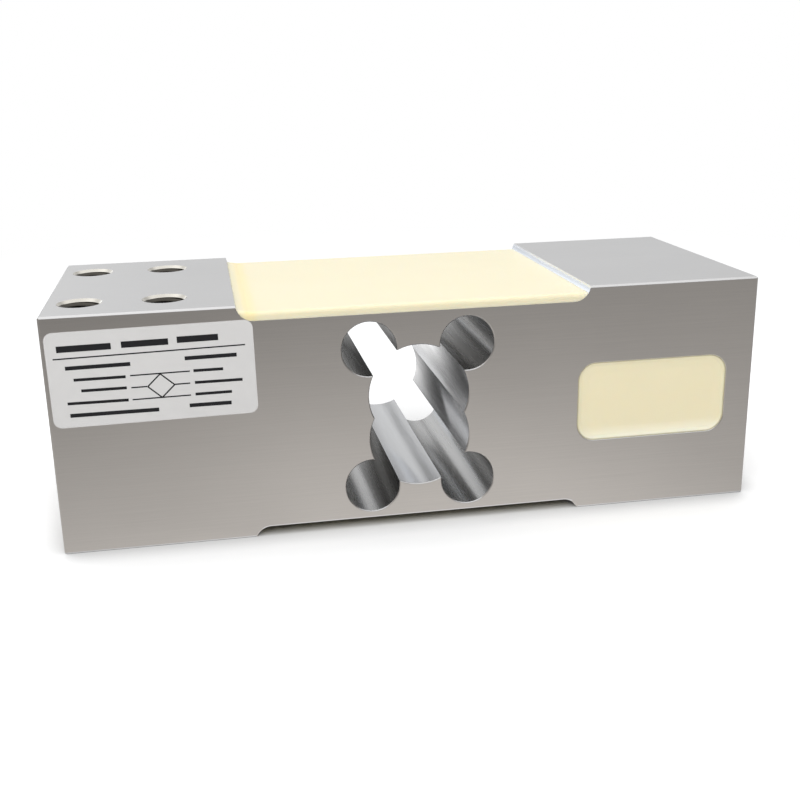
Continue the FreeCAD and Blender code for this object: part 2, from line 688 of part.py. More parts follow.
def build():
    pieces = {"beam_body": [beam_body()]}
    for side, place in (("top", on_top), ("bottom", on_bottom)):
        for name, solids in face_pieces().items():
            pieces[side + "_" + name] = [place(solid) for solid in solids]
    lead_wires = pieces["top_lead_wires"] + pieces["bottom_lead_wires"]
    pieces["trim_board"] = [board()]
    pieces["board_solder_joints"] = board_solder(lead_wires)
    pieces["zero_trim_resistor"] = [small_chip(0, 1)]
    pieces["zero_temperature_resistor"] = [small_chip(1, 1)]
    pieces["span_trim_resistors"] = [small_chip(0, -1), small_chip(1, -1)]
    pieces["span_temperature_resistors"] = [large_chip(-1), large_chip(1)]
    inner = [place(plate) for place in (on_top, on_bottom) for plate in gauge_plates()]
    for name, solids in pieces.items():
        if name != "beam_body" and "gauge" not in name:
            inner += solids
    top_fill = recess_potting(TOP_RECESS_LENGTH, TOP_RECESS_DEPTH, TOP_POTTING_THICKNESS, 0)
    pieces["top_potting"] = [on_top(top_fill).cut(inner)]
    bottom_fill = recess_potting(
        BOTTOM_RECESS_LENGTH,
        BOTTOM_RECESS_DEPTH,
        BOTTOM_POTTING_THICKNESS,
        BOTTOM_POTTING_SETBACK,
    )
    pieces["bottom_potting"] = [on_bottom(bottom_fill).cut(inner)]
    pieces["side_potting"] = [side_potting().cut(inner)]
    pieces["rating_label"] = [label()]
    return pieces


def main():
    os.makedirs("parts", exist_ok=True)
    for name, solids in build().items():
        shape = solids[0] if len(solids) == 1 else Part.makeCompound(solids)
        shape.exportStep("parts/" + name + ".step")
        print(name, len(shape.Solids), round(shape.Volume, 3), shape.isValid())


main()
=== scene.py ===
import math

import bmesh
import bpy
from mathutils import Matrix, Vector


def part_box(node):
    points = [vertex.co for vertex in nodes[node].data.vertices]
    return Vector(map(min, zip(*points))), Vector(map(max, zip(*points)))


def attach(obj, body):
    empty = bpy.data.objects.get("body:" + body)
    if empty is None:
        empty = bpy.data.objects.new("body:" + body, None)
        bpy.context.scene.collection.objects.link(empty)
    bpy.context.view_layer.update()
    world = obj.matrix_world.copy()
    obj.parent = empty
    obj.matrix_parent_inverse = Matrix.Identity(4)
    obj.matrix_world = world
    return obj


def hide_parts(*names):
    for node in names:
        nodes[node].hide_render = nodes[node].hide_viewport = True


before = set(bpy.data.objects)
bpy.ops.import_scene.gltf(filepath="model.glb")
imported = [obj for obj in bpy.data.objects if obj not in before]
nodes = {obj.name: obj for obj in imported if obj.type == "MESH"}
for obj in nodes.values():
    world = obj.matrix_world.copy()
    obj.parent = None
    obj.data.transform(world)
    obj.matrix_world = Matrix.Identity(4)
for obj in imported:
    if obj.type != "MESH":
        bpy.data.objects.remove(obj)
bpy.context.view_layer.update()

# Beam
# One block of aluminium alloy. Its outer faces are fine ground along the beam, the flexure cavity
# is bored from front to back, and the tapped holes are drilled and threaded.

# The marks that a tool leaves are noise that is drawn out along one direction. They run from 0 to
# 1, and each metal turns them into tone, gloss and fine relief.
lay = bpy.data.node_groups.new("tool_lay", "ShaderNodeTree")
lay.interface.new_socket("Position", in_out="INPUT", socket_type="NodeSocketVector")
lay.interface.new_socket("Lines_per_metre", in_out="INPUT", socket_type="NodeSocketVector")
lay.interface.new_socket("Value", in_out="OUTPUT", socket_type="NodeSocketFloat")
lay_in = lay.nodes.new("NodeGroupInput")
lay_out = lay.nodes.new("NodeGroupOutput")
lay_scale = lay.nodes.new("ShaderNodeVectorMath")
lay_scale.operation = "MULTIPLY"
lay_noise = lay.nodes.new("ShaderNodeTexNoise")
lay_noise.inputs["Scale"].default_value = 1.0
lay_noise.inputs["Detail"].default_value = 3.0
lay_noise.inputs["Roughness"].default_value = 0.6
lay.links.new(lay_in.outputs["Position"], lay_scale.inputs[0])
lay.links.new(lay_in.outputs["Lines_per_metre"], lay_scale.inputs[1])
lay.links.new(lay_scale.outputs[0], lay_noise.inputs["Vector"])
lay.links.new(lay_noise.outputs["Fac"], lay_out.inputs["Value"])


def ramp(tree, value, over, gives, smooth=False):
    """Turns a value that runs over one range into one that runs over another and ends there."""
    node = tree.nodes.new("ShaderNodeMapRange")
    if smooth:
        node.interpolation_type = "SMOOTHSTEP"
    limits = ("From Min", "From Max", "To Min", "To Max")
    for limit, number in zip(limits, (*over, *gives)):
        node.inputs[limit].default_value = number
    tree.links.new(value, node.inputs["Value"])
    return node.outputs["Result"]


def marked_metal(name, dark, light, gloss, lines, tangent, relief, edge):
    """Bare metal with tool marks: gloss says how rough it is where they are low and high, lines how
    many cross a metre each way, tangent which way they lie, relief how deep they are in metres, and
    edge how far its arrises are broken."""
    material = bpy.data.materials.new(name)
    material.use_nodes = True
    tree = material.node_tree
    shader = tree.nodes["Principled BSDF"]
    place = tree.nodes.new("ShaderNodeTexCoord")
    marks = tree.nodes.new("ShaderNodeGroup")
    marks.node_tree = lay
    marks.inputs["Lines_per_metre"].default_value = lines
    tree.links.new(place.outputs["Object"], marks.inputs["Position"])
    tone = tree.nodes.new("ShaderNodeMix")
    tone.data_type = "RGBA"
    tone.inputs["A"].default_value = (*dark, 1.0)
    tone.inputs["B"].default_value = (*light, 1.0)
    broad = tree.nodes.new("ShaderNodeTexNoise")
    broad.inputs["Scale"].default_value = 55.0
    broad.inputs["Detail"].default_value = 3.0
    tree.links.new(place.outputs["Object"], broad.inputs["Vector"])
    blend = tree.nodes.new("ShaderNodeMix")
    blend.inputs["Factor"].default_value = 0.3
    tree.links.new(marks.outputs["Value"], blend.inputs["A"])
    tree.links.new(broad.outputs["Fac"], blend.inputs["B"])
    tree.links.new(blend.outputs["Result"], tone.inputs["Factor"])
    tree.links.new(tone.outputs["Result"], shader.inputs["Base Color"])
    roughness = ramp(tree, marks.outputs["Value"], over=(0.0, 1.0), gives=gloss)
    tree.links.new(roughness, shader.inputs["Roughness"])
    shader.inputs["Metallic"].default_value = 1.0
    shader.inputs["Anisotropic"].default_value = 0.55
    way = tree.nodes.new("ShaderNodeCombineXYZ")
    for axis, value in zip("XYZ", tangent):
        way.inputs[axis].default_value = value
    tree.links.new(way.outputs["Vector"], shader.inputs["Tangent"])
    arris = tree.nodes.new("ShaderNodeBevel")
    arris.samples = 6
    arris.inputs["Radius"].default_value = edge
    bump = tree.nodes.new("ShaderNodeBump")
    bump.inputs["Strength"].default_value = 1.0
    bump.inputs["Distance"].default_value = relief
    tree.links.new(marks.outputs["Value"], bump.inputs["Height"])
    tree.links.new(arris.outputs["Normal"], bump.inputs["Normal"])
    tree.links.new(bump.outputs["Normal"], shader.inputs["Normal"])
    return material


def split(tree, vector):
    """Gives the X, Y and Z of a place or a direction."""
    node = tree.nodes.new("ShaderNodeSeparateXYZ")
    tree.links.new(vector, node.inputs["Vector"])
    return node.outputs


def reckon(tree, operation, *values):
    """One sum on changing values and fixed numbers."""
    node = tree.nodes.new("ShaderNodeMath")
    node.operation = operation
    for socket, value in zip(node.inputs, values):
        if isinstance(value, float):
            socket.default_value = value
        else:
            tree.links.new(value, socket)
    return node.outputs["Value"]


def tint(tree, share, color):
    """Lays a colour over a material's own by a share from 0 to 1."""
    base = tree.nodes["Principled BSDF"].inputs["Base Color"]
    mix = tree.nodes.new("ShaderNodeMix")
    mix.data_type = "RGBA"
    mix.inputs["B"].default_value = (*color, 1.0)
    tree.links.new(share, mix.inputs["Factor"])
    tree.links.new(base.links[0].from_socket, mix.inputs["A"])
    tree.links.new(mix.outputs["Result"], base)


ground = marked_metal(
    "ground_aluminium",
    dark=(0.52, 0.488, 0.455),
    light=(0.66, 0.62, 0.58),
    gloss=(0.3, 0.46),
    lines=(60, 60, 4200),
    tangent=(1, 0, 0),
    relief=0.000002,
    edge=0.00012,
)
# Painted light: the level faces get a lighter copy of the same ground metal than the sides.
ground_top_painted_light = marked_metal(
    "ground_aluminium_top_painted_light",
    dark=(0.63, 0.622, 0.617),
    light=(0.77, 0.76, 0.754),
    gloss=(0.32, 0.44),
    lines=(60, 4200, 60),
    tangent=(1, 0, 0),
    relief=0.000002,
    edge=0.00012,
)
bored = marked_metal(
    "bored_aluminium",
    dark=(0.54, 0.538, 0.54),
    light=(0.72, 0.72, 0.73),
    gloss=(0.12, 0.26),
    lines=(1100, 60, 1100),
    tangent=(0, 1, 0),
    relief=0.000002,
    edge=0.00018,
)
reamed = marked_metal(
    "reamed_aluminium",
    dark=(0.42, 0.415, 0.41),
    light=(0.66, 0.655, 0.65),
    gloss=(0.2, 0.36),
    lines=(1200, 40, 1200),
    tangent=(0, 1, 0),
    relief=0.000003,
    edge=0.00018,
)
# Painted shade: the drilled walls of the holes are much darker than the rest of the metal.
drilled_painted_shade = marked_metal(
    "drilled_aluminium_painted_shade",
    dark=(0.2, 0.185, 0.16),
    light=(0.32, 0.3, 0.265),
    gloss=(0.2, 0.36),
    lines=(200, 200, 3000),
    tangent=(1, 0, 0),
    relief=0.000003,
    edge=0.0001,
)
countersunk = marked_metal(
    "countersunk_aluminium",
    dark=(0.54, 0.51, 0.45),
    light=(0.76, 0.73, 0.67),
    gloss=(0.12, 0.26),
    lines=(500, 500, 3000),
    tangent=(0, 0, 1),
    relief=0.000002,
    edge=0.00008,
)
milled = marked_metal(
    "milled_aluminium_ends",
    dark=(0.84, 0.86, 0.89),
    light=(0.93, 0.94, 0.97),
    gloss=(0.2, 0.32),
    lines=(1500, 60, 1500),
    tangent=(0, 1, 0),
    relief=0.000002,
    edge=0.00015,
)

# Painted shade: the metal of the two upper lobes, the left one more, of the right wall of the lower
# left one, and a little of the lower right one, is darkened by its place.
tree = reamed.node_tree
at = split(tree, tree.nodes["Texture Coordinate"].outputs["Object"])
height = ramp(tree, at["Z"], over=(0.018, 0.03), gives=(0.0, 0.85))
upper_side = ramp(tree, at["X"], over=(-0.002, 0.002), gives=(1.15, 0.6))
upper = reckon(tree, "MULTIPLY", height, upper_side)
wall = ramp(tree, at["X"], over=(-0.009, -0.0066), gives=(0.0, 1.0), smooth=True)
left_lobe = reckon(tree, "LESS_THAN", at["X"], 0.0)
lower_share = ramp(tree, left_lobe, over=(0.0, 1.0), gives=(0.15, 1.0))
left_wall = reckon(tree, "MULTIPLY", wall, lower_share)
tint(tree, reckon(tree, "MAXIMUM", upper, left_wall), (0.19, 0.185, 0.175))

# Each face of the block gets the metal of the tool that made it, and the level faces a lighter copy
# of the ground metal than the sides, as painted light from above.
beam = nodes["beam_body"]
beam_low, beam_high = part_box("beam_body")
metals = [ground, ground_top_painted_light, bored, reamed, drilled_painted_shade, countersunk, milled]
beam.data.materials.clear()
for metal in metals:
    beam.data.materials.append(metal)
skin = 0.00001
neutral_z = 0.0244
cavity_half_length = 0.0165
cavity_foot_z = 0.0035
cavity_head_z = 0.0452
lobe_x = 0.01035
lobe_z = 0.015
lobe_reach = 0.006
holes_from_x = 0.045
holes_to_x = 0.0745
holes_from_side = 0.005
recess_end_from_x = 0.033
recess_end_to_x = 0.0375
recess_end_from_z = 0.0465
recess_end_to_z = 0.04999
recess_end_slope = 0.15
cone_slopes = (0.3, 0.95)
across_slope = 0.5
level_slope = 0.6
for face in beam.data.polygons:
    centre = face.center
    from_ends = abs(centre.x)
    in_from_side = min(centre.y - beam_low.y, beam_high.y - centre.y)
    in_from_face = min(centre.z - beam_low.z, beam_high.z - centre.z)
    in_cavity = (
        from_ends < cavity_half_length
        and cavity_foot_z < centre.z < cavity_head_z
        and in_from_side > skin
        and abs(face.normal.y) < across_slope
    )
    in_hole = (
        holes_from_x < from_ends < holes_to_x
        and in_from_side > holes_from_side
        and in_from_face > skin
    )
    on_recess_end = (
        recess_end_from_x < from_ends < recess_end_to_x
        and recess_end_from_z < centre.z < recess_end_to_z
        and abs(face.normal.x) > recess_end_slope
    )
    steep = abs(face.normal.z)
    if in_cavity:
        from_lobe = math.hypot(from_ends - lobe_x, abs(centre.z - neutral_z) - lobe_z)
        metal = reamed if from_lobe < lobe_reach else bored
    elif in_hole:
        metal = countersunk if cone_slopes[0] < steep < cone_slopes[1] else drilled_painted_shade
    elif on_recess_end:
        metal = milled
    else:
        metal = ground_top_painted_light if steep > level_slope else ground
    face.material_index = metals.index(metal)

# Threads
# The turns of the M8 coarse threads in the four load holes and the four base holes. They are cut in
# the block itself, so they are the same bare metal, in a darker tone because they lie in deep shade.
threaded = marked_metal(
    "threaded_aluminium",
    dark=(0.045, 0.041, 0.035),
    light=(0.13, 0.12, 0.105),
    gloss=(0.25, 0.4),
    lines=(300, 300, 300),
    tangent=(0, 0, 1),
    relief=0.000002,
    edge=0.00005,
)
hole_rows_x = (0.068, 0.051)
hole_side_y = 0.01725
thread_pitch = 0.00125
thread_steps = 28
first_turn = 0.0004
root_radius = 0.00404
crest_radius = 0.00338
countersink_radius = 0.00458
under_skin = 0.00002
# A turn's profile, as radii and as shares of the pitch along the hole
thread_profile = ((root_radius, -0.48), (crest_radius, -0.07), (crest_radius, 0.07), (root_radius, 0.48))


def finished(name, mesh, material):
    """Makes an object of a mesh that has its place in the beam already."""
    data = bpy.data.meshes.new(name)
    mesh.to_mesh(data)
    mesh.free()
    data.materials.append(material)
    piece = bpy.data.objects.new(name, data)
    bpy.context.scene.collection.objects.link(piece)
    return piece


for name, end, face_z, inwards, depth in (
    ("load_hole_threads", -1, beam_high.z, -1, 0.0172),
    ("base_hole_threads", 1, beam_low.z, 1, 0.0104),
):
    mesh = bmesh.new()
    steps = round((depth - first_turn) / thread_pitch * thread_steps)
    first_z = face_z + inwards * first_turn
    for row_x in hole_rows_x:
        for row_y in (-hole_side_y, hole_side_y):
            axis_at = Vector((end * row_x, row_y, 0))
            profile = [
                mesh.verts.new(axis_at + Vector((radius, 0, first_z + along * thread_pitch)))
                for radius, along in thread_profile
            ]
            edges = [mesh.edges.new(pair) for pair in zip(profile, profile[1:])]
            bmesh.ops.spin(
                mesh,
                geom=profile + edges,
                cent=axis_at,
                axis=(0, 0, 1),
                dvec=(0, 0, inwards * thread_pitch / thread_steps),
                angle=inwards * 2 * math.pi * steps / thread_steps,
                steps=steps,
                use_merge=False,
            )
    # The first turn runs out under the face and behind the countersink's cone
    for vert in mesh.verts:
        if (vert.co.z - face_z) * inwards < under_skin:
            vert.co.z = face_z + inwards * under_skin
        axis_x = end * min(hole_rows_x, key=lambda x: abs(abs(vert.co.x) - x))
        foot = Vector((axis_x, math.copysign(hole_side_y, vert.co.y), vert.co.z))
        cone_radius = countersink_radius - abs(vert.co.z - face_z)
        out = vert.co - foot
        if 0 < out.length < cone_radius:
            vert.co = foot + out.normalized() * (cone_radius + under_skin)
    bmesh.ops.recalc_face_normals(mesh, faces=mesh.faces)
    threads = finished(name, mesh, threaded)
    threads.data.shade_smooth()
    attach(threads, "root")

# Gauges
# A folded strip of constantan foil, etched on an amber polyimide film and glued over each thin web.


def moulded(name, color, deep_color, roughness, waviness, wave_height, scatter):
    """A cast or moulded material: broad soft changes of tone and a faint waviness of its skin."""
    material = bpy.data.materials.new(name)
    material.use_nodes = True
    tree = material.node_tree
    shader = tree.nodes["Principled BSDF"]
    place = tree.nodes.new("ShaderNodeTexCoord")
    noise = tree.nodes.new("ShaderNodeTexNoise")
    noise.inputs["Scale"].default_value = waviness
    noise.inputs["Detail"].default_value = 2.0
    tree.links.new(place.outputs["Object"], noise.inputs["Vector"])
    tone = tree.nodes.new("ShaderNodeMix")
    tone.data_type = "RGBA"
    tone.inputs["A"].default_value = (*deep_color, 1.0)
    tone.inputs["B"].default_value = (*color, 1.0)
    tree.links.new(noise.outputs["Fac"], tone.inputs["Factor"])
    tree.links.new(tone.outputs["Result"], shader.inputs["Base Color"])
    shader.inputs["Roughness"].default_value = roughness
    shader.inputs["Subsurface Weight"].default_value = scatter
    shader.inputs["Subsurface Radius"].default_value = (1.0, 0.7, 0.4)
    shader.inputs["Subsurface Scale"].default_value = 0.002
    bump = tree.nodes.new("ShaderNodeBump")
    bump.inputs["Distance"].default_value = wave_height
    tree.links.new(noise.outputs["Fac"], bump.inputs["Height"])
    tree.links.new(bump.outputs["Normal"], shader.inputs["Normal"])
    return material


film_thickness = 0.0001
just_over = 1.01


def clad(name, film, metal):
    """Gives a laminate its film, and metal to what stands on the film's side away from the beam."""
    sheet = nodes[name].data
    low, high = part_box(name)
    sheet.materials[0] = film
    sheet.materials.append(metal)
    for face in sheet.polygons:
        raised = face.center.z - low.z if name.startswith("top") else high.z - face.center.z
        face.material_index = 1 if raised > film_thickness * just_over else 0


amber = moulded(
    "amber_polyimide",
    color=(0.62, 0.3, 0.045),
    deep_color=(0.54, 0.25, 0.035),
    roughness=0.25,
    waviness=500.0,
    wave_height=0.000002,
    scatter=0.1,
)
constantan = marked_metal(
    "constantan_foil",
    dark=(0.5, 0.46, 0.4),
    light=(0.62, 0.57, 0.5),
    gloss=(0.28, 0.4),
    lines=(200, 4000, 200),
    tangent=(1, 0, 0),
    relief=0.000001,
    edge=0.00002,
)
for side in ("top", "bottom"):
    clad(side + "_gauge_load_end", amber, constantan)
    clad(side + "_gauge_base_end", amber, constantan)

# Terminal strips
# Copper pads on a thin glass laminate, glued between the gauges to take the ribbons and leads.
laminate = moulded(
    "strip_laminate",
    color=(0.5, 0.46, 0.24),
    deep_color=(0.44, 0.4, 0.2),
    roughness=0.4,
    waviness=900.0,
    wave_height=0.000002,
    scatter=0.1,
)
copper = marked_metal(
    "bare_copper",
    dark=(0.62, 0.3, 0.18),
    light=(0.8, 0.46, 0.3),
    gloss=(0.25, 0.42),
    lines=(2500, 200, 200),
    tangent=(1, 0, 0),
    relief=0.000001,
    edge=0.00002,
)
for name in ("top_terminal_strip", "bottom_terminal_strip"):
    clad(name, laminate, copper)

# Ribbons and solder
# Flat tinned copper from gauge to strip, and smooth tin that has flowed over each end.
tinned = marked_metal(
    "tinned_ribbon",
    dark=(0.6, 0.6, 0.59),
    light=(0.78, 0.78, 0.76),
    gloss=(0.2, 0.36),
    lines=(300, 2500, 300),
    tangent=(1, 0, 0),
    relief=0.000001,
    edge=0.00003,
)
tin = marked_metal(
    "flowed_solder",
    dark=(0.58, 0.59, 0.61),
    light=(0.74, 0.75, 0.77),
    gloss=(0.12, 0.3),
    lines=(1200, 1200, 1200),
    tangent=(1, 0, 0),
    relief=0.000004,
    edge=0.0001,
)
for name in ("top_jumper_ribbons", "bottom_jumper_ribbons"):
    nodes[name].data.materials[0] = tinned
for name in ("top_solder_joints", "bottom_solder_joints", "board_solder_joints"):
    nodes[name].data.materials[0] = tin

# Lead wires
# Copper under clear brown enamel, led through the oblique ways to the board in the pocket.
enamel = moulded(
    "brown_enamel",
    color=(0.4, 0.13, 0.05),
    deep_color=(0.3, 0.09, 0.035),
    roughness=0.2,
    waviness=700.0,
    wave_height=0.000003,
    scatter=0.0,
)
enamel.node_tree.nodes["Principled BSDF"].inputs["Coat Weight"].default_value = 0.5
for name in ("top_lead_wires", "bottom_lead_wires"):
    nodes[name].data.materials[0] = enamel

# Trim board
# Glass laminate under green solder mask, with tinned pads on the side that faces out.
mask = moulded(
    "green_mask",
    color=(0.03, 0.21, 0.085),
    deep_color=(0.02, 0.16, 0.06),
    roughness=0.28,
    waviness=350.0,
    wave_height=0.000004,
    scatter=0.0,
)
board = nodes["trim_board"].data
board_back_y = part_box("trim_board")[1].y
board_thickness = 0.001
barely_over = 1.001
board.materials[0] = mask
board.materials.append(tinned)
for face in board.polygons:
    from_back = board_back_y - face.center.y
    face.material_index = 1 if from_back > board_thickness * barely_over else 0

# Trim resistors
# Ceramic chips with a dark or grey glaze, and a tinned metal cap wrapped round each end.
dark_glaze = moulded(
    "dark_glaze",
    color=(0.035, 0.035, 0.04),
    deep_color=(0.02, 0.02, 0.022),
    roughness=0.3,
    waviness=800.0,
    wave_height=0.000003,
    scatter=0.0,
)
grey_glaze = moulded(
    "grey_glaze",
    color=(0.3, 0.32, 0.36),
    deep_color=(0.24, 0.26, 0.3),
    roughness=0.35,
    waviness=800.0,
    wave_height=0.000003,
    scatter=0.0,
)
row_offset = 0.003
cap_length = 0.0004
for name, glaze, chip_length in (
    ("zero_trim_resistor", dark_glaze, 0.002),
    ("zero_temperature_resistor", dark_glaze, 0.002),
    ("span_trim_resistors", dark_glaze, 0.002),
    ("span_temperature_resistors", grey_glaze, 0.0032),
):
    chips = nodes[name].data
    chips.materials[0] = glaze
    chips.materials.append(tin)
    cap_from = chip_length / 2 - cap_length * just_over
    for face in chips.polygons:
        from_middle = abs(abs(face.center.z - neutral_z) - row_offset)
        face.material_index = 1 if from_middle > cap_from else 0

# Potting in the recesses
# Cream silicone, poured over the gauges to keep damp out, and rounded at the beam's two sides. It
# creeps up the metal at the load end, and a band near there is tinted a deeper yellow.
cream = moulded(
    "cream_silicone",
    color=(0.785, 0.72, 0.515),
    deep_color=(0.755, 0.69, 0.485),
    roughness=0.34,
    waviness=60.0,
    wave_height=0.00006,
    scatter=0.3,
)


def curved(tree, value, ends, between):
    """Turns a value from 0 to 1 into the one that a curve through these points gives."""
    node = tree.nodes.new("ShaderNodeFloatCurve")
    points = node.mapping.curves[0].points
    for point, place in zip(points, ends):
        point.location = place
    for x, y in between:
        points.new(x, y)
    node.mapping.update()
    tree.links.new(value, node.inputs["Value"])
    return node.outputs["Value"]


tree = cream.node_tree
at = split(tree, tree.nodes["Texture Coordinate"].outputs["Object"])
along = ramp(tree, at["X"], over=(-0.037, -0.031), gives=(0.0, 1.0))
yellow_band = curved(
    tree,
    along,
    ends=((0.0, 0.25), (1.0, 0.0)),
    between=((0.2, 0.3), (0.38, 1.0), (0.55, 0.85), (0.8, 0.1)),
)
tint(tree, yellow_band, (0.82, 0.7, 0.4))
for name in ("top_potting", "bottom_potting"):
    nodes[name].data.materials[0] = cream

# Potting in the side pocket
# The same silicone, poured over the trim board with the beam laid on its back, so it is dished. Its
# lower edge is painted paler, as painted light, and its rim darker, as painted shade.
pocket_cream = moulded(
    "pocket_silicone",
    color=(0.82, 0.745, 0.515),
    deep_color=(0.8, 0.72, 0.49),
    roughness=0.3,
    waviness=90.0,
    wave_height=0.00004,
    scatter=0.3,
)


def vector_sum(tree, operation, vector, other=(0.0, 0.0, 0.0)):
    """One sum on a place or a direction, with a fixed one where the sum takes two."""
    node = tree.nodes.new("ShaderNodeVectorMath")
    node.operation = operation
    tree.links.new(vector, node.inputs[0])
    node.inputs[1].default_value = other
    return node.outputs["Value" if operation in ("LENGTH", "DISTANCE") else "Vector"]


corner_radius = 0.004
pocket_low, pocket_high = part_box("side_potting")
pocket_middle = (pocket_low + pocket_high) / 2
pocket_half = (pocket_high - pocket_low) / 2
straight_half = (pocket_half.x - corner_radius, 1.0, pocket_half.z - corner_radius)
tree = pocket_cream.node_tree
place = tree.nodes["Texture Coordinate"].outputs["Object"]
at = split(tree, place)
# Painted light: paler towards the lower edge.
painted_light_low_band = ramp(tree, at["Z"], over=(0.0157, 0.0192), gives=(1.0, 0.0), smooth=True)
tint(tree, painted_light_low_band, (0.9, 0.85, 0.67))
folded = vector_sum(tree, "ABSOLUTE", vector_sum(tree, "SUBTRACT", place, pocket_middle))
past_corner = vector_sum(tree, "MAXIMUM", vector_sum(tree, "SUBTRACT", folded, straight_half))
to_rim = vector_sum(tree, "LENGTH", past_corner)
# Painted shade: darker close to the rim.
shade_starts = corner_radius - 0.0004
shade_full = corner_radius - 0.00005
painted_shade_rim = ramp(tree, to_rim, over=(shade_starts, shade_full), gives=(0.0, 0.75), smooth=True)
tint(tree, painted_shade_rim, (0.36, 0.3, 0.17))
nodes["side_potting"].data.materials[0] = pocket_cream

# Label
# Silver grey printed film, stuck to the front by its own adhesive. The print is a rule, a bridge
# diagram and plain bars.
film = moulded(
    "label_film",
    color=(0.62, 0.61, 0.6),
    deep_color=(0.59, 0.58, 0.57),
    roughness=0.38,
    waviness=400.0,
    wave_height=0.000002,
    scatter=0.0,
)
ink = moulded(
    "label_ink",
    color=(0.02, 0.02, 0.022),
    deep_color=(0.015, 0.015, 0.016),
    roughness=0.5,
    waviness=400.0,
    wave_height=0.000001,
    scatter=0.0,
)
ink.node_tree.nodes["Principled BSDF"].inputs["Specular IOR Level"].default_value = 0.1
label_length = 0.0404
label_height = 0.0195
label_corner = 0.0017
label_thickness = 0.000115
label_slope = math.radians(-0.6)
label_middle = Vector((-0.05395, beam_low.y, 0.03725))
label_turn = Matrix.Translation(label_middle) @ Matrix.Rotation(label_slope, 4, "Y")
corners = ((-1, -1), (1, -1), (1, 1), (-1, 1))
mesh = bmesh.new()
outline = [
    mesh.verts.new((x * label_length / 2, 0, z * label_height / 2)) for x, z in corners
]
mesh.faces.new(outline)
bmesh.ops.bevel(
    mesh,
    geom=mesh.verts[:],
    offset=label_corner,
    segments=8,
    profile=0.5,
    affect="VERTICES",
    material=-1,
)
grown = bmesh.ops.extrude_face_region(mesh, geom=mesh.faces[:])
moved = [part for part in grown["geom"] if isinstance(part, bmesh.types.BMVert)]
bmesh.ops.translate(mesh, verts=moved, vec=(0, -label_thickness, 0))
bmesh.ops.recalc_face_normals(mesh, faces=mesh.faces)
mesh.transform(label_turn)
label = finished("label_film", mesh, film)
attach(label, "root")
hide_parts("rating_label")

bars = [
    # Middle x and z from the label's lower left corner, length and height, all in millimetres, and
    # slope in degrees
    (7.4, 16.1, 10.4, 1.3, 0), (19.1, 16.2, 9.1, 1.3, 0), (29.4, 16.4, 8.1, 1.3, 0),
    (20.0, 14.3, 37.3, 0.28, 0.4),
    (9.7, 12.2, 12.5, 0.8, 0), (31.7, 12.5, 10.3, 0.8, 0),
    (9.8, 9.7, 10.0, 0.6, -0.5), (10.4, 7.4, 8.8, 0.6, -0.5), (9.0, 4.9, 11.8, 0.6, -0.8),
    (31.0, 9.8, 5.9, 0.6, -0.5), (32.9, 7.3, 9.5, 0.6, -0.6), (31.7, 4.9, 7.3, 0.6, -0.2),
    (12.0, 2.4, 17.3, 0.8, -0.5), (30.9, 2.6, 8.4, 0.8, -0.5),
    (21.5, 9.8, 11.7, 0.28, 0), (21.4, 4.8, 11.5, 0.28, 0),
    (17.2, 7.3, 3.1, 0.28, 0), (25.6, 7.3, 3.2, 0.28, 0),
    (20.2, 8.5, 3.7, 0.28, 43), (22.8, 8.5, 3.6, 0.28, -43),
    (20.2, 6.0, 3.7, 0.28, -43), (22.8, 6.0, 3.6, 0.28, 43),
]
mm_per_metre = 1000
ink_middle_y = -0.00011
ink_thickness = 0.00002
mesh = bmesh.new()
for middle_x, middle_z, length, height, slope in bars:
    bar_x = middle_x / mm_per_metre - label_length / 2
    bar_z = middle_z / mm_per_metre - label_height / 2
    place = Matrix.Translation((bar_x, ink_middle_y, bar_z))
    turn = Matrix.Rotation(math.radians(-slope), 4, "Y")
    size = Matrix.Diagonal((length / mm_per_metre, ink_thickness, height / mm_per_metre, 1))
    bmesh.ops.create_cube(mesh, size=1.0, matrix=label_turn @ place @ turn @ size)
label_print = finished("label_print", mesh, ink)
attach(label_print, "root")

# Studio
# A pale floor in a pale room, under two large soft lights that the metal doesn't mirror. The camera
# sees floor and room white, while the metal mirrors uneven tones of both. Close to the beam the floor
# carries a painted shadow, deepened with ambient occlusion.
scene = bpy.context.scene
scene.view_settings.view_transform = "Standard"
floor_reach = 4.0
mesh = bmesh.new()
mesh.faces.new([mesh.verts.new((x * floor_reach, y * floor_reach, 0)) for x, y in corners])
floor_material = bpy.data.materials.new("studio_floor")
floor = finished("floor", mesh, floor_material)


def mixed(tree, share, first, second):
    """Mixes two shaders, from all of the first at a share of 0 to all of the second at 1."""
    node = tree.nodes.new("ShaderNodeMixShader")
    tree.links.new(share, node.inputs["Fac"])
    tree.links.new(first, node.inputs[1])
    tree.links.new(second, node.inputs[2])
    return node.outputs[0]


floor_material.use_nodes = True
tree = floor_material.node_tree
tree.nodes.remove(tree.nodes["Principled BSDF"])
rays = tree.nodes.new("ShaderNodeLightPath").outputs
place = tree.nodes.new("ShaderNodeTexCoord").outputs["Object"]
at = split(tree, place)

# What the camera sees: paper with a painted shadow near the beam, plain white farther out
shade = tree.nodes.new("ShaderNodeAmbientOcclusion")
shade.samples = 16
shade.inputs["Distance"].default_value = 0.007
lit_paper = tree.nodes.new("ShaderNodeBsdfDiffuse")
tree.links.new(reckon(tree, "POWER", shade.outputs["AO"], 0.5), lit_paper.inputs["Color"])
plain = tree.nodes.new("ShaderNodeEmission")
far = ramp(tree, vector_sum(tree, "LENGTH", place), over=(0.12, 0.4), gives=(0.0, 1.0))
sweep = mixed(tree, far, lit_paper.outputs[0], plain.outputs[0])

# What the beam is lit by from below
paper = tree.nodes.new("ShaderNodeBsdfDiffuse")
paper.inputs["Color"].default_value = (0.82, 0.82, 0.82, 1.0)

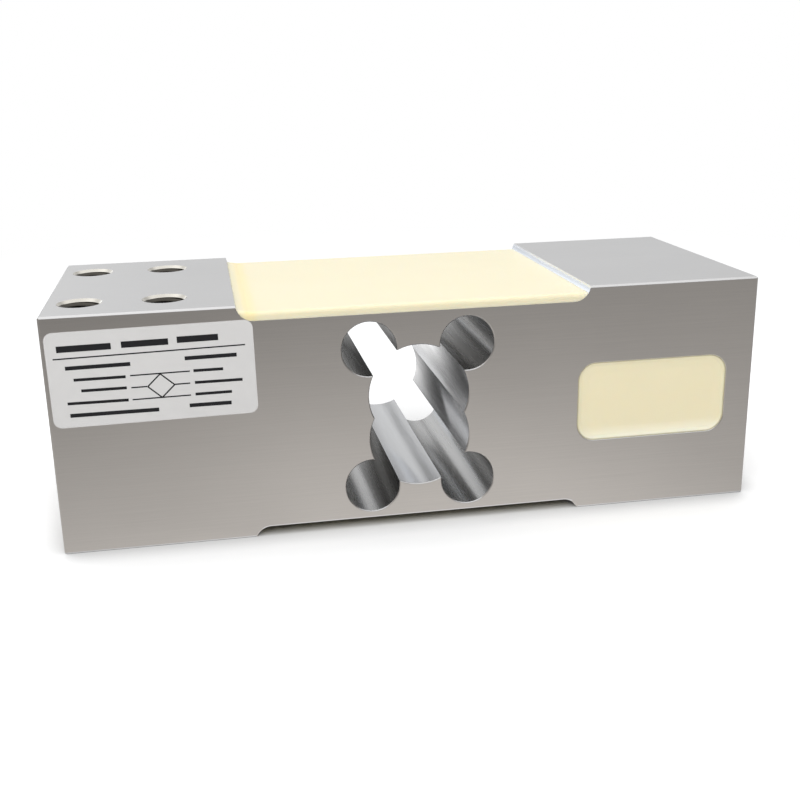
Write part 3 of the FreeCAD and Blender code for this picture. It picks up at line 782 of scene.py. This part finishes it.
# What the metal mirrors: a tone that changes with depth, evener on the right, with a bright slanted
# band and a bright left side behind the beam
along = ramp(tree, at["Y"], over=(-0.4, 0.4), gives=(0.0, 1.0))
fade = curved(
    tree,
    along,
    ends=((0.0, 0.24), (1.0, 0.08)),
    between=((0.23, 0.27), (0.37, 0.43), (0.43, 0.5), (0.47, 0.52), (0.53, 0.06), (0.66, 0.08)),
)
brighter = reckon(tree, "MULTIPLY", fade, 1.7)
left_tone = ramp(tree, at["X"], over=(-0.09, -0.02), gives=(0.8, 1.0))
toned = reckon(tree, "MULTIPLY", brighter, left_tone)
evened = tree.nodes.new("ShaderNodeMix")
evened.inputs["B"].default_value = 0.52
right_even = ramp(tree, at["X"], over=(0.035, 0.085), gives=(0.0, 0.6))
tree.links.new(right_even, evened.inputs["Factor"])
tree.links.new(toned, evened.inputs["A"])
slant = reckon(tree, "MULTIPLY_ADD", at["Y"], 0.38, at["X"])
near_side = ramp(tree, slant, over=(0.019, 0.034), gives=(0.0, 1.0), smooth=True)
far_side = ramp(tree, slant, over=(0.039, 0.052), gives=(1.0, 0.25), smooth=True)
band = reckon(tree, "MULTIPLY", near_side, far_side)
behind = ramp(tree, at["Y"], over=(0.06, 0.13), gives=(0.0, 1.9), smooth=True)
with_band = reckon(tree, "MULTIPLY_ADD", band, behind, evened.outputs["Result"])
left_side = ramp(tree, at["X"], over=(-0.36, -0.17), gives=(0.35, 0.0), smooth=True)
mirrored_tone = reckon(tree, "MULTIPLY_ADD", left_side, behind, with_band)
mirrored = tree.nodes.new("ShaderNodeEmission")
tree.links.new(mirrored_tone, mirrored.inputs["Strength"])

seen = mixed(tree, rays["Is Camera Ray"], paper.outputs[0], sweep)
surface = mixed(tree, rays["Is Glossy Ray"], seen, mirrored.outputs[0])
tree.links.new(surface, tree.nodes["Material Output"].inputs["Surface"])

# The room is brighter behind, at the left and above the horizon, with a bright panel at the back
# left, a dark gap high at the back, and a ceiling that only mirrors show.
world = bpy.data.worlds.new("studio")
scene.world = world
world.use_nodes = True
tree = world.node_tree
room = tree.nodes["Background"]
rays = tree.nodes.new("ShaderNodeLightPath").outputs
way = tree.nodes.new("ShaderNodeTexCoord").outputs["Generated"]
at = split(tree, way)
panel_way = (-0.54, 0.84, 0.07)
gap_way = (-0.01, 0.91, 0.41)
back = ramp(tree, at["Y"], over=(-0.6, 0.8), gives=(0.35, 1.0))
side = ramp(tree, at["X"], over=(-0.5, 0.7), gives=(1.0, 0.6))
horizon = ramp(tree, at["Z"], over=(0.06, 0.17), gives=(0.3, 1.12), smooth=True)
above = reckon(tree, "MULTIPLY", reckon(tree, "MULTIPLY", back, side), horizon)
from_gap = vector_sum(tree, "DISTANCE", way, gap_way)
dark_gap = ramp(tree, from_gap, over=(0.03, 0.15), gives=(0.38, 1.0), smooth=True)
from_panel = vector_sum(tree, "DISTANCE", way, panel_way)
panel = ramp(tree, from_panel, over=(0.1, 0.24), gives=(1.0, 0.0))
with_panel = reckon(tree, "ADD", reckon(tree, "MULTIPLY", above, dark_gap), panel)
ceiling = ramp(tree, at["Z"], over=(0.5, 0.85), gives=(0.0, 0.75), smooth=True)
strength = reckon(tree, "MULTIPLY_ADD", ceiling, rays["Is Glossy Ray"], with_panel)
tree.links.new(strength, room.inputs["Strength"])
cool = tree.nodes.new("ShaderNodeMix")
cool.data_type = "RGBA"
cool.inputs["A"].default_value = (0.98, 0.99, 1.0, 1.0)
cool.inputs["B"].default_value = (0.86, 0.92, 1.0, 1.0)
tree.links.new(panel, cool.inputs["Factor"])
tree.links.new(cool.outputs["Result"], room.inputs["Color"])
white = tree.nodes.new("ShaderNodeBackground")
white.inputs["Color"].default_value = (1.0, 1.0, 1.0, 1.0)
seen = mixed(tree, rays["Is Camera Ray"], room.outputs[0], white.outputs[0])
tree.links.new(seen, tree.nodes["World Output"].inputs["Surface"])

for name, length, width, energy, light_place in (
    ("key_light", 0.9, 0.6, 3.4, Vector((0.02, 0.0, 0.7))),
    ("fill_light", 0.8, 0.4, 3.0, Vector((-0.15, -0.6, 0.5))),
):
    lamp = bpy.data.lights.new(name, "AREA")
    lamp.shape = "RECTANGLE"
    lamp.size = length
    lamp.size_y = width
    lamp.energy = energy
    light = bpy.data.objects.new(name, lamp)
    light.location = light_place
    light.rotation_euler = (-light_place).to_track_quat("-Z", "Y").to_euler()
    light.visible_glossy = False
    scene.collection.objects.link(light)

# Camera
# Placed and turned so that the block's corners fall where they do in the photograph.
lens = bpy.data.cameras.new("camera")
lens.sensor_width = 36.0
lens.lens = 49.08
lens.clip_start = 0.01
camera = bpy.data.objects.new("camera", lens)
camera_place = Matrix.Translation((-0.04265, -0.24353, 0.09608))
heading = Matrix.Rotation(math.radians(10.166), 3, "Z")
tilt = Matrix.Rotation(math.radians(17.332), 3, "X")
roll = Matrix.Rotation(math.radians(-1.134), 3, "Y")
right, forward, up = roll @ tilt @ heading
camera.matrix_world = camera_place @ Matrix((right, up, -forward)).transposed().to_4x4()
scene.collection.objects.link(camera)
scene.camera = camera
